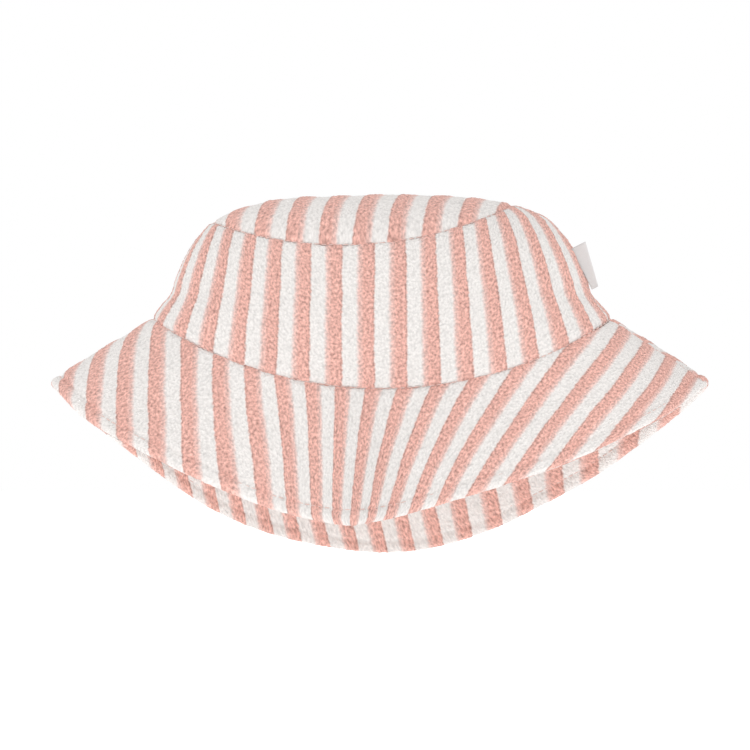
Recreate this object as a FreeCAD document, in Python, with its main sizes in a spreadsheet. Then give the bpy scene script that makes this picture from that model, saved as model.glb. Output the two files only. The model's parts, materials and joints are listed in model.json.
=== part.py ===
"""A lined bucket hat in striped towelling, as its sewn pieces.

Millimetres. +Z is up, the wearer looks along -Y, and +X is the wearer's left. The origin is in the
middle of the head opening, at the height of the front of the seam between crown and brim. The hat
is soft, so it stands a little squeezed from front to back and its brim rises at the two sides.
"""
import FreeCAD, Part
import os
import sys
from math import acos, atan2, cos, hypot, pi, radians, sin
import Sketcher
from FreeCAD import Placement, Rotation, Vector

SIZES = [
    # the crown
    ("crown_half_width", 104.4, "half width of the crown at the top of the brim seam"),
    ("crown_half_depth", 52.0, "half depth of the crown at the front of the brim seam"),
    ("wall_height", 66.8, "brim seam to tip seam, at the front"),
    ("dome_height", 23.2, "tip seam at the front to the highest point"),
    ("hem_below", 8.0, "how far the crown's lofts run on below the brim seam"),
    ("seam_side_rise", 29.8, "how much higher the brim seam is at the sides than at the front"),
    ("tip_seam_radius", 170.0, "radius of the tip seam as seen from the front"),
    ("tip_seam_offset", -18.0, "where the tip seam is lowest, across the hat"),
    ("seam_turn", -5.2, "angle of the side seams about the vertical, degrees"),
    # the brim
    ("brim_half_width", 155.0, "half width of the brim, corner to corner"),
    ("corner_height", 2.8, "height of the brim's two corners"),
    ("rim_half_depth", 80.0, "half depth of the brim at the front rim"),
    ("front_rim_drop", 62.5, "the front rim's lowest point, below the origin"),
    ("front_rim_offset", -10.0, "where the front rim is lowest, across the hat"),
    ("front_rim_roundness", 0.9, "the front rim's radius, as a share of the largest possible"),
    ("back_rim_drop", 78.3, "the back rim's lowest point, below the origin"),
    ("back_rim_offset", 0.0, "where the back rim is lowest, across the hat"),
    ("back_rim_roundness", 0.875, "the back rim's radius, as a share of the largest possible"),
    # the cloths, from the outside in
    ("towelling", 2.4, "thickness of the striped towelling"),
    ("lining_cloth", 1.0, "thickness of the lining"),
    ("stiffener", 0.8, "thickness of the interlining in the brim"),
    ("band_cloth", 1.5, "thickness of the sweatband, folded double"),
    ("band_height", 27.0, "height of the sweatband"),
    ("cloth_gap", 0.25, "space between two cloths that lie on each other"),
    ("seam_gap", 0.6, "space between two panels at a seam, which the thread lies in"),
    # the threads
    ("thread", 0.4, "thickness of the sewing thread"),
    ("seam_thread_depth", 0.9, "how deep a seam's thread lies below the outer face"),
    ("topstitch_inset", 6.2, "the rim's topstitch, above the rim"),
    ("rim_seam_inset", 1.2, "the rim's hidden seam, above the rim"),
    ("stiffener_inset", 4.0, "the interlining stops this far above the rim"),
    ("band_stitch_inset", 2.0, "the sweatband's topstitch, below its upper edge"),
    # the labels
    ("label_length", 20.0, "side label, along the side seam"),
    ("label_reach", 6.5, "side label, from the seam to its fold"),
    ("label_loop", 1.0, "side label's thickness at its two layers together"),
    ("label_ply", 0.4, "thickness of one layer of either label"),
    ("label_middle", 54.0, "height of the side label's middle"),
    ("label_clearance", 0.3, "space between a label's hinge edge and what it is sewn to"),
    ("care_width", 15.0, "care label, across"),
    ("care_length", 20.0, "care label, from its sewn edge to its free edge"),
    ("care_top", 23.0, "height of the care label's sewn edge"),
    # room for the tools that cut the panels out
    ("beyond", 40.0, "how far cutting shapes run on past the hat"),
]

# The crown's outline as rings: name, share of the wall's height, share of the dome's height, share
# of the crown's half width and half depth, and how far its outward normal has turned up.
RINGS = [
    ("waist", 0.734, 0.0, 0.925, 0.929, 20.0),
    ("shoulder", 0.988, 0.0, 0.835, 0.837, 36.0),
    ("turn", 1.0, 0.461, 0.742, 0.685, 54.0),
    ("crest", 1.0, 0.763, 0.623, 0.505, 68.0),
    ("cap", 1.0, 0.931, 0.422, 0.305, 80.0),
    ("top", 1.0, 1.0, 0.211, 0.145, 90.0),
]
# the same for the three rings up to the brim seam's sides: name, height, width, depth, lean
FOOT_RINGS = [
    ("hem", "-sizes.hem_below", 1.130, 1.012, 12.0),
    ("foot", "sizes.seam_side_rise / 3", 1.062, 1.0, 14.0),
    ("seam", "sizes.seam_side_rise", 1.0, 0.977, 16.0),
]

SIDE_SLOPE = (
    "((sizes.brim_half_width - sizes.crown_half_width)"
    " / (sizes.seam_side_rise - sizes.corner_height))"
)
FRONT_SLOPE = "((sizes.rim_half_depth - sizes.crown_half_depth) / sizes.front_rim_drop)"
SEAM_RADIUS = (
    "((sizes.crown_half_width ^ 2 + sizes.seam_side_rise ^ 2) / (2 * sizes.seam_side_rise))"
)
REACH = "(sizes.brim_half_width + sizes.beyond)"
CEILING = "(sizes.wall_height + sizes.dome_height + 2 * sizes.beyond)"



def rim_radius(which):
    """A rim's radius. The largest possible is that of a circle through the nearer corner."""
    height = f"(corner_height + {which}_rim_drop)"
    width = f"(brim_half_width - abs({which}_rim_offset))"
    return f"={which}_rim_roundness * ({width} ^ 2 + {height} ^ 2) / (2 * {height})"


RADII = [(f"{which}_rim_radius", rim_radius(which), f"radius of the {which} rim's round middle")
         for which in ("front", "back")]

doc = FreeCAD.newDocument("bucket_hat")
sheet = doc.addObject("Spreadsheet::Sheet", "sizes")
for row, (alias, value, note) in enumerate(SIZES + RADII, start=1):
    sheet.set(f"A{row}", note)
    sheet.set(f"B{row}", str(value))
    sheet.setAlias(f"B{row}", alias)
doc.recompute()


def size(alias):
    return float(sheet.get(alias))


def bind(thing, **expressions):
    for name, expression in expressions.items():
        thing.setExpression(name.replace("__", "."), expression)
    return thing


# ---------------------------------------------------------------- the crown's and the brim's faces
def ring(name, height, half_width, half_depth):
    """A level oval, the longer way across."""
    oval = doc.addObject("Part::Ellipse", name)
    return bind(oval, MajorRadius=half_width, MinorRadius=half_depth, Placement__Base__z=height)


def loft(name, rings, ruled=False):
    solid = doc.addObject("Part::Loft", name)
    solid.Sections, solid.Solid, solid.Ruled = rings, True, ruled
    return solid


def crown_core(name, depth):
    """The crown's whole volume, inside a face that lies `depth` below the towelling's outer face."""
    def inset(share, axis, lean):
        return f"sizes.{axis} * {share} - ({depth}) * {cos(radians(lean)):.4f}"

    def sunk(height, lean):
        return f"{height} - ({depth}) * {sin(radians(lean)):.4f}"

    outline = list(FOOT_RINGS)
    for label, wall, dome, wide, deep, lean in RINGS:
        height = f"sizes.wall_height * {wall} + sizes.dome_height * {dome}"
        outline.append((label, height, wide, deep, lean))
    rings = [ring(f"{name}_{label}", sunk(height, lean), inset(wide, "crown_half_width", lean),
                  inset(deep, "crown_half_depth", lean))
             for label, height, wide, deep, lean in outline]
    return loft(name, rings)


def brim_core(name, depth):
    """The volume under the brim's cone, whose face lies `depth` below the towelling's outer face."""
    rings = []
    for end, height in (("upper", "(sizes.seam_side_rise + 8)"),
                        ("lower", "(-sizes.back_rim_drop - 6)")):
        rings.append(ring(
            f"{name}_{end}", height,
            f"sizes.crown_half_width + (sizes.seam_side_rise - {height}) * {SIDE_SLOPE}"
            f" - ({depth}) * sqrt(1 + {SIDE_SLOPE} ^ 2)",
            f"sizes.crown_half_depth - {height} * {FRONT_SLOPE}"
            f" - ({depth}) * sqrt(1 + {FRONT_SLOPE} ^ 2)"))
    return loft(name, rings, ruled=True)


def shell(name, core, outside, inside):
    """What lies between two depths of the crown or the brim."""
    cut = doc.addObject("Part::Cut", name)
    cut.Base, cut.Tool = core(f"{name}_outside", outside), core(f"{name}_inside", inside)
    return cut


# ---------------------------------------------------------------- the shapes that cut panels out
def round_cutter(name, radius, across, lowest):
    """A cylinder along Y. What is inside it is above the seam whose lowest point it gives."""
    cutter = doc.addObject("Part::Cylinder", name)
    cutter.Placement = Placement(Vector(0, 0, 0), Rotation(Vector(1, 0, 0), -90))
    return bind(cutter, Radius=radius, Height="4 * sizes.rim_half_depth",
                Placement__Base__x=across, Placement__Base__y="-2 * sizes.rim_half_depth",
                Placement__Base__z=f"{lowest} + {radius}")


def brim_seam_cutter(name, above="0"):
    """Holds what is above the seam between crown and brim, by a distance or more."""
    radius = f"({SEAM_RADIUS} - ({above}))"
    return round_cutter(name, radius, "0", f"({above})")


def tip_seam_cutter(name, above="0"):
    radius = f"(sizes.tip_seam_radius - ({above}))"
    return round_cutter(name, radius, "sizes.tip_seam_offset", f"sizes.wall_height + ({above})")


def block(name, left, width, near, depth, turn="sizes.seam_turn"):
    """A tall box, turned with the side seams, with its lower left corner at (left, near)."""
    box = doc.addObject("Part::Box", name)
    box.Placement = Placement(Vector(0, 0, 0), Rotation(Vector(0, 0, 1), 1))
    return bind(box, Length=width, Width=depth, Height=f"{CEILING} + 2 * sizes.back_rim_drop",
                Placement__Rotation__Angle=turn,
                Placement__Base__x=f"({left}) * cos({turn}) - ({near}) * sin({turn})",
                Placement__Base__y=f"({left}) * sin({turn}) + ({near}) * cos({turn})",
                Placement__Base__z="-2 * sizes.back_rim_drop")


def hold(sketch, kind, expression, value, *what):
    """Adds a dimension to a sketch and binds it to an expression."""
    number = sketch.addConstraint(Sketcher.Constraint(kind, *what, value))
    sketch.setExpression(f"Constraints[{number}]", expression)


def at(sketch, geometry, point, x, y):
    """Holds a point of a sketch at two expressions from its origin."""
    place = sketch.getPoint(geometry, point)
    hold(sketch, "DistanceX", x, place.x, -1, 1, geometry, point)
    hold(sketch, "DistanceY", y, place.y, -1, 1, geometry, point)


def tangent_point(centre, radius, corner):
    """Where the lower tangent from a corner touches a circle."""
    away = corner - centre
    middle, half = atan2(away.y, away.x), acos(radius / hypot(away.x, away.y))
    angles = [middle + half, middle - half]
    return min((centre + Vector(cos(a), sin(a), 0) * radius for a in angles), key=lambda p: p.y)


def rim_outline(name, which):
    """All above one rim, as seen from the front: a round middle, then straight past the corners."""
    sketch = doc.addObject("Sketcher::SketchObject", name)
    sketch.Placement = Placement(Vector(0, 0, 0), Rotation(Vector(1, 0, 0), 90))
    radius, far = size(f"{which}_rim_radius"), size("brim_half_width") + size("beyond")
    ceiling = size("wall_height") + size("dome_height") + 2 * size("beyond")
    centre = Vector(size(f"{which}_rim_offset"), radius - size(f"{which}_rim_drop"), 0)
    corners = [Vector(side * size("brim_half_width"), size("corner_height"), 0) for side in (-1, 1)]
    ends = [tangent_point(centre, radius, corner) for corner in corners]
    outer = [end + (corner - end) * ((far - abs(end.x)) / (abs(corner.x) - abs(end.x)))
             for end, corner in zip(ends, corners)]
    angles = [atan2(end.y - centre.y, end.x - centre.x) % (2 * pi) for end in ends]
    circle = Part.Circle(centre, Vector(0, 0, 1), radius)
    middle = sketch.addGeometry(Part.ArcOfCircle(circle, *angles))
    path = [ends[1], outer[1], Vector(far, ceiling, 0), Vector(-far, ceiling, 0), outer[0], ends[0]]
    lines = [sketch.addGeometry(Part.LineSegment(a, b)) for a, b in zip(path, path[1:])]
    for here, after in zip(lines, lines[1:]):
        sketch.addConstraint(Sketcher.Constraint("Coincident", here, 2, after, 1))
    sketch.addConstraint(Sketcher.Constraint("Tangent", lines[-1], 2, middle, 1))
    sketch.addConstraint(Sketcher.Constraint("Tangent", middle, 2, lines[0], 1))
    hold(sketch, "Radius", f"sizes.{which}_rim_radius", radius, middle)
    at(sketch, middle, 3, f"sizes.{which}_rim_offset",
       f"sizes.{which}_rim_radius - sizes.{which}_rim_drop")
    for corner, line, sign in zip(corners, (lines[-1], lines[0]), ("-", "")):
        point = sketch.addGeometry(Part.Point(corner), True)
        at(sketch, point, 1, f"{sign}sizes.brim_half_width", "sizes.corner_height")
        sketch.addConstraint(Sketcher.Constraint("PointOnObject", point, 1, line))
    hold(sketch, "DistanceX", REACH, far, -1, 1, lines[0], 2)
    hold(sketch, "DistanceX", f"-{REACH}", -far, -1, 1, lines[-1], 1)
    at(sketch, lines[1], 2, REACH, CEILING)
    at(sketch, lines[2], 2, f"-{REACH}", CEILING)
    return sketch


def rim_cutter(name, outline, inset=None):
    """Holds what is above a rim, by the inset or more."""
    profile = outline
    if inset:
        profile = doc.addObject("Part::Offset2D", f"{name}_profile")
        profile.Source, profile.Value = outline, -1
        bind(profile, Value=f"-({inset})")
    cutter = doc.addObject("Part::Extrusion", name)
    cutter.Base, cutter.DirMode, cutter.Solid, cutter.Symmetric = profile, "Normal", True, True
    return bind(cutter, LengthFwd="4 * sizes.rim_half_depth")


# ---------------------------------------------------------------- putting the pieces together
pieces = {}


def common(name, base, *tools):
    """What is inside the base and all the tools."""
    for number, tool in enumerate(tools):
        both = doc.addObject("Part::Common", f"{name}_common_{number}")
        both.Base, both.Tool = base, tool
        base = both
    return base


def minus(name, base, *tools):
    for number, tool in enumerate(tools):
        rest = doc.addObject("Part::Cut", f"{name}_minus_{number}")
        rest.Base, rest.Tool = base, tool
        base = rest
    return base


def piece(node, shape):
    shape.Label = node
    pieces[node] = shape


HALF_GAP, HALF_THREAD = "sizes.seam_gap / 2", "sizes.thread / 2"
LINING = "(sizes.towelling + sizes.cloth_gap)"
BAND = f"({LINING} + sizes.lining_cloth + sizes.cloth_gap)"
STIFFENER = "(sizes.towelling + sizes.cloth_gap)"
UNDER = f"({STIFFENER} + sizes.stiffener + sizes.cloth_gap)"

SPAN, LONG = f"(2 * {REACH})", "(2 * sizes.rim_half_depth)"
halves = {
    "front": block("front_half", f"-{REACH}", SPAN, f"-{LONG} - {HALF_GAP}", LONG),
    "back": block("back_half", f"-{REACH}", SPAN, HALF_GAP, LONG),
}
side_seam_slabs = {
    "left": block("left_seam_slab", "0", REACH, f"-{HALF_THREAD}", "sizes.thread"),
    "right": block("right_seam_slab", f"-{REACH}", REACH, f"-{HALF_THREAD}", "sizes.thread"),
}


def wall(name, skin):
    """The part of a crown skin between the two seams."""
    upright = common(name, skin, brim_seam_cutter(f"{name}_over", HALF_GAP))
    return minus(name, upright, tip_seam_cutter(f"{name}_under", f"-{HALF_GAP}"))


def crown_panels(node, skin):
    """A tip and two half walls, out of one skin."""
    piece(f"{node}_tip", common(f"{node}_tip", skin, tip_seam_cutter(f"{node}_tip_over", HALF_GAP)))
    sides = wall(f"{node}_wall", skin)
    for which, half in halves.items():
        piece(f"{node}_{which}", common(f"{node}_{which}", sides, half))


def seam_ring(name, skin, cutter):
    """A thread along a seam, in the gap between two panels."""
    low, high = cutter(f"{name}_low", f"-{HALF_THREAD}"), cutter(f"{name}_high", HALF_THREAD)
    return minus(name, common(name, skin, low), high)


def crown_threads(node, skin):
    """The threads of a crown's seams: round the tip, and down each side."""
    piece(f"{node}_tip_thread", seam_ring(f"{node}_tip_thread", skin, tip_seam_cutter))
    sides = wall(f"{node}_seams", skin)
    for which, slab in side_seam_slabs.items():
        piece(f"{node}_thread_{which}", common(f"{node}_thread_{which}", sides, slab))


rims = {which: rim_outline(f"{which}_rim", which) for which in halves}


def brim_panels(node, outside, inside, inset=None):
    """The front and back halves of one layer of the brim."""
    skin = shell(f"{node}_skin", brim_core, outside, inside)
    skin = minus(node, skin, brim_seam_cutter(f"{node}_top", f"-{HALF_GAP}"))
    for which, half in halves.items():
        name = f"{node}_{which}"
        piece(name, common(name, skin, rim_cutter(f"{name}_edge", rims[which], inset), half))


def rim_threads(node, outside, inside, inset):
    """A row of stitches along each rim, at its inset."""
    skin = shell(f"{node}_skin", brim_core, outside, inside)
    for which, half in halves.items():
        name = f"{node}_{which}"
        low = rim_cutter(f"{name}_low", rims[which], inset)
        high = rim_cutter(f"{name}_high", rims[which], f"{inset} + sizes.thread")
        row = minus(name, common(name, skin, low), high)
        piece(name, common(f"{name}_half", row, half))


def brim_side_threads(node, outside, inside):
    """The threads of a brim layer's two side seams."""
    skin = shell(f"{node}_skin", brim_core, outside, inside)
    skin = minus(node, skin, brim_seam_cutter(f"{node}_top", f"-{HALF_GAP}"))
    for which, slab in side_seam_slabs.items():
        name = f"{node}_{which}"
        edge = rim_cutter(f"{name}_edge", rims["front"], "sizes.topstitch_inset")
        piece(name, common(name, skin, slab, edge))


# ---------------------------------------------------------------- the labels
def face_at(core, x, angle, height):
    """How far out from the axis a core's face is, beside x, in a direction, at a height."""
    turn = Rotation(Vector(0, 0, 1), angle)
    start = turn.multVec(Vector(0, x, 0)) + Vector(0, 0, height)
    reach = turn.multVec(Vector(size("brim_half_width"), 0, 0))
    inside = Part.makeLine(start, start + reach).common(core.Shape)
    return max((v.Point - start).Length for v in inside.Vertexes)


def label_body(name):
    body = doc.addObject("PartDesign::Body", name)
    plane = next(f for f in body.Origin.OriginFeatures if f.Role == "XY_Plane")
    sketch = body.newObject("Sketcher::SketchObject", f"{name}_section")
    sketch.AttachmentSupport, sketch.MapMode = (plane, ""), "FlatFace"
    return body, sketch


def outline(sketch, points):
    """A closed outline of straight lines, its points given as expressions with first values."""
    spots = [Vector(x, y, 0) for (x, _), (y, _) in points]
    lines = [sketch.addGeometry(Part.LineSegment(a, b)) for a, b in zip(spots, spots[1:] + spots[:1])]
    for here, after in zip(lines, lines[1:] + lines[:1]):
        sketch.addConstraint(Sketcher.Constraint("Coincident", here, 2, after, 1))
    for line, ((_, x), (_, y)) in zip(lines, points):
        at(sketch, line, 1, x, y)


def on_seam(core, height):
    """The point of a core's face on the right-hand side seam, at a height."""
    turn = Rotation(Vector(0, 0, 1), size("seam_turn"))
    out = face_at(core, 0, size("seam_turn"), height)
    return turn.multVec(Vector(out, 0, 0)) + Vector(0, 0, height)


def side_label():
    """A loop of tape, its two ends sewn into the right side seam and its fold outwards."""
    body, sketch = label_body("woven_label")
    loop, reach, ply = size("label_loop"), size("label_reach"), size("label_ply")
    bend = reach - loop / 2
    lines = {}
    for name, half in (("outer", loop / 2), ("inner", loop / 2 - ply)):
        circle = Part.Circle(Vector(bend, 0, 0), Vector(0, 0, 1), half)
        fold = sketch.addGeometry(Part.ArcOfCircle(circle, -pi / 2, pi / 2))
        low = sketch.addGeometry(Part.LineSegment(Vector(0, -half, 0), Vector(bend, -half, 0)))
        high = sketch.addGeometry(Part.LineSegment(Vector(bend, half, 0), Vector(0, half, 0)))
        sketch.addConstraint(Sketcher.Constraint("Tangent", low, 2, fold, 1))
        sketch.addConstraint(Sketcher.Constraint("Tangent", fold, 2, high, 1))
        inset = "0" if name == "outer" else "sizes.label_ply"
        at(sketch, fold, 3, "sizes.label_reach - sizes.label_loop / 2", "0")
        at(sketch, low, 1, "0", f"-(sizes.label_loop / 2 - {inset})")
        hold(sketch, "DistanceX", "0", 0, -1, 1, high, 2)
        lines[name] = (low, high)
    for side, (here, there) in enumerate(zip(lines["outer"], lines["inner"])):
        end = 1 if side == 0 else 2
        edge = sketch.addGeometry(Part.LineSegment(sketch.getPoint(here, end),
                                                   sketch.getPoint(there, end)))
        sketch.addConstraint(Sketcher.Constraint("Coincident", edge, 1, here, end))
        sketch.addConstraint(Sketcher.Constraint("Coincident", edge, 2, there, end))
    pad = body.newObject("PartDesign::Pad", "woven_label_pad")
    pad.Profile, pad.Midplane = sketch, True
    bind(pad, Length="sizes.label_length")
    core = doc.getObject("towelling_skin_outside")
    middle, half = size("label_middle"), size("label_length") / 2
    low, high = on_seam(core, middle - half), on_seam(core, middle + half)
    along = (high - low).normalize()
    side = Rotation(Vector(0, 0, 1), size("seam_turn")).multVec(Vector(0, 1, 0))
    out = side.cross(along)
    hinge = on_seam(core, middle) + out * size("label_clearance")
    body.Placement = Placement(hinge, Rotation(out, side, along))
    piece("woven_label", body)
    return hinge, along


def inner_label():
    """A blank tape that hangs by its upper edge from the sweatband's back."""
    body, sketch = label_body("care_label")
    outline(sketch, [((size("care_width") * x, f"sizes.care_width * {x}"),
                      (size("label_ply") * y, f"sizes.label_ply * {y}"))
                     for x, y in ((-0.5, -1), (0.5, -1), (0.5, 0), (-0.5, 0))])
    pad = body.newObject("PartDesign::Pad", "care_label_pad")
    pad.Profile, pad.Reversed = sketch, True
    bind(pad, Length="sizes.care_length")
    core = doc.getObject("band_skin_inside")
    edge = size("care_width") / 2
    heights = (size("care_top"), size("care_top") - size("care_length"))
    nearest = min(face_at(core, x, 90, z) for x in (-edge, edge) for z in heights)
    hinge = Vector(0, nearest - size("label_clearance"), size("care_top"))
    body.Placement = Placement(hinge, Rotation())
    piece("care_label", body)
    return hinge


# ---------------------------------------------------------------- the hat
towelling = shell("towelling_skin", crown_core, "0", "sizes.towelling")
crown_panels("crown", towelling)
lining = shell("lining_skin", crown_core, LINING, f"{LINING} + sizes.lining_cloth")
crown_panels("lining", lining)

band = shell("band_skin", crown_core, BAND, f"{BAND} + sizes.band_cloth")
band_top = brim_seam_cutter("band_top", "sizes.band_height")
piece("sweatband", minus("band", common("band", band, brim_seam_cutter("band_foot", HALF_GAP)), band_top))

brim_panels("brim_top", "0", "sizes.towelling")
brim_panels("brim_stiffener", STIFFENER, f"{STIFFENER} + sizes.stiffener", "sizes.stiffener_inset")
brim_panels("brim_under", UNDER, f"{UNDER} + sizes.towelling")

seam_skin = shell("seam_thread_skin", crown_core, "sizes.seam_thread_depth",
                  "sizes.seam_thread_depth + sizes.thread")
crown_threads("crown", seam_skin)
piece("brim_seam_thread", seam_ring("brim_seam_thread", seam_skin, brim_seam_cutter))
lining_seam_skin = shell("lining_thread_skin", crown_core, f"{LINING} + sizes.thread / 2",
                         f"{LINING} + sizes.thread * 1.5")
crown_threads("lining", lining_seam_skin)
brim_side_threads("brim_top_thread", "sizes.seam_thread_depth",
                  "sizes.seam_thread_depth + sizes.thread")
brim_side_threads("brim_under_thread", f"{UNDER} + sizes.seam_thread_depth",
                  f"{UNDER} + sizes.seam_thread_depth + sizes.thread")
rim_threads("rim_topstitch", "-sizes.thread", "0", "sizes.topstitch_inset")
rim_threads("rim_seam_thread", f"{STIFFENER} + sizes.thread / 2",
            f"{STIFFENER} + sizes.thread * 1.5", "sizes.rim_seam_inset")
band_stitch_skin = shell("band_stitch_skin", crown_core, f"{BAND} + sizes.band_cloth",
                         f"{BAND} + sizes.band_cloth + sizes.thread")
stitch_height = "sizes.band_height - sizes.band_stitch_inset"
band_stitch = common("band_stitch", band_stitch_skin,
                     brim_seam_cutter("band_stitch_foot", f"{stitch_height} - sizes.thread"))
piece("band_stitch", minus("band_stitch", band_stitch,
                           brim_seam_cutter("band_stitch_top", stitch_height)))
doc.recompute()
side_hinge, side_axis = side_label()
care_hinge = inner_label()
doc.recompute()

# ---------------------------------------------------------------- check, then write
failed = [thing.Label for thing in doc.Objects if {"Invalid", "Error"} & set(thing.State)]
failed += [node for node, thing in pieces.items()
           if thing.Shape.isNull() or not thing.Shape.isValid() or not thing.Shape.Solids]
if failed:
    sys.exit(f"These failed: {', '.join(failed)}")
os.makedirs("parts", exist_ok=True)
for node, thing in pieces.items():
    thing.Shape.exportStep(f"parts/{node}.step")
print(f"{len(pieces)} pieces")
print("woven_label hinge", [round(v, 3) for v in side_hinge], [round(v, 4) for v in side_axis])
print("care_label hinge", [round(v, 3) for v in care_hinge])
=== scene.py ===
"""The cloth, stitching and labels of a striped towelling bucket hat, sewn around its frame.

Lengths are in metres. +Z is up and the wearer looks along -Y, so the front of the hat is at low Y.
The hat is soft: it stands squeezed from front to back, with a ridge down the middle of its front
brim. Every cloth is a grid of points with its place in the flat cut beside each, so stripes run
with the cloth.
"""
import json
from math import cos, pi, radians, sin, tan

import bpy
import numpy as np
from bpy.props import FloatProperty, FloatVectorProperty, PointerProperty
from bpy.types import Operator, Panel, PropertyGroup
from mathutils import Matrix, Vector


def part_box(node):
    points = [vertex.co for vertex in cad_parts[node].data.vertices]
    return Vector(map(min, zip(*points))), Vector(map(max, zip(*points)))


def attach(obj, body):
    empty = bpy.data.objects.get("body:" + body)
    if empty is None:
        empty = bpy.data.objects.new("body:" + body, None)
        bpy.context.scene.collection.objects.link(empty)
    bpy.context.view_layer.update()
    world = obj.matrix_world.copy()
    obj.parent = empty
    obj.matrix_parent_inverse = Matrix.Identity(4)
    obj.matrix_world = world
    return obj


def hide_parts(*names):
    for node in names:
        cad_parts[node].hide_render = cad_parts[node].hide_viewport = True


bl_info = {
    "name": "Striped Bucket Hat",
    "version": (1, 0, 0),
    "blender": (4, 5, 0),
    "location": "3D Viewport > Sidebar > Hat",
    "description": "Sews a bucket hat's cloth, stitching and labels around its frame",
    "category": "Add Mesh",
}

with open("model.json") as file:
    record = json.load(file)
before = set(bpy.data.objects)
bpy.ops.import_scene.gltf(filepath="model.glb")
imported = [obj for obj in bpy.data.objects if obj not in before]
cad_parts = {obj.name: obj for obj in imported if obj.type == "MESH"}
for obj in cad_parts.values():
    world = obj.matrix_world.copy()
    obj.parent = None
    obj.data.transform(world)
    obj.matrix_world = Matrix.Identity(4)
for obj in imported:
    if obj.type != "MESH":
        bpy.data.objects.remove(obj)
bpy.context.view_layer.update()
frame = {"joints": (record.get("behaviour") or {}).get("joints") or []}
MM = 0.001
WALL_FRONT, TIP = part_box("crown_front"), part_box("crown_tip")
BRIM_FRONT, BRIM_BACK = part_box("brim_top_front"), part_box("brim_top_back")
CROWN_HALF_DEPTH = -WALL_FRONT[0].y
CROWN_TOP = TIP[1].z
SEAM_SIDE_HEIGHT = BRIM_BACK[1].z

# Sizes of the hidden pieces, and of the grids that the cloths are made on.
LINING_GAP = 0.8 * MM
BAND_GAP = 0.15 * MM
BAND_HEIGHT = 27 * MM
BAND_STITCH_HEIGHT = 25 * MM
INTERLINING_INSET = 4 * MM
RIM_SEAM_INSET = 1.2 * MM
LABEL_PLY = 0.35 * MM
HALF_RIM = 380 * MM
TIP_SPAN = (136 * MM, 88 * MM)

# Where a stripe's edges lie, in shares of the stripes' period from the middle of a pink one.
CRISP_EDGE = (-0.290, -0.215)
FIRST_FADE = (0.06, 0.20)
LAST_FADE = (0.19, 0.35)
# The last four bound a painted shadow line just inside the crisp edge, standing for the shade cast by the
# raised pile's step.
PILE_SHADOW_LINE = (-0.260, -0.235, -0.215, -0.190)

# Level rings of the crown from its hem to its top: height, half width and half depth, in shares of
# the crown's top height, of its half width at the brim seam and of its greatest half depth.
CROWN_RINGS = np.array([
    (-0.089, 1.190, 1.005), (0.111, 1.115, 0.995), (0.333, 1.040, 0.975), (0.425, 0.982, 0.958),
    (0.490, 0.935, 0.940), (0.560, 0.915, 0.920), (0.733, 0.845, 0.840), (0.861, 0.748, 0.700),
    (0.937, 0.590, 0.510), (0.977, 0.400, 0.320), (0.990, 0.200, 0.150), (0.994, 0.000, 0.000),
])

# The brim's ribs, in millimetres and degrees: the angle in the flat cut from the middle of its half,
# then where the rib meets the rim: across, back and up. The brim is a ruled surface between them.
FRONT_RIBS = [
    (-65, -153, 2, 4), (-50, -134, -34, -12), (-30, -91, -56, -34), (-15, -49, -66, -51),
    (-3, -25, -78, -56), (5, -13, -83, -56.5), (15, 1.5, -77, -55), (30, 32, -66, -47),
    (50, 84, -52, -31), (67, 127, -27, -12),
]
BACK_RIBS = [
    (-71, 151, 3, 4), (-52, 140, 36, -10), (-24, 91, 65, -47), (9, 14, 82, -77.5),
    (41, -66, 72, -64), (71, -124, 40, -25),
]


def linear(value):
    """An sRGB channel, from 0 to 255, as a linear one."""
    value /= 255
    return value / 12.92 if value <= 0.04045 else ((value + 0.055) / 1.055) ** 2.4


def colour(red, green, blue):
    return tuple(linear(channel) for channel in (red, green, blue))


def size_prop(name, description, default):
    return FloatProperty(name=name, description=description, default=default, subtype="DISTANCE",
                         unit="LENGTH", precision=5)


def tint_prop(name, description, default):
    return FloatVectorProperty(name=name, description=description, default=default,
                               subtype="COLOR", size=3, min=0.0, max=1.0)


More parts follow.
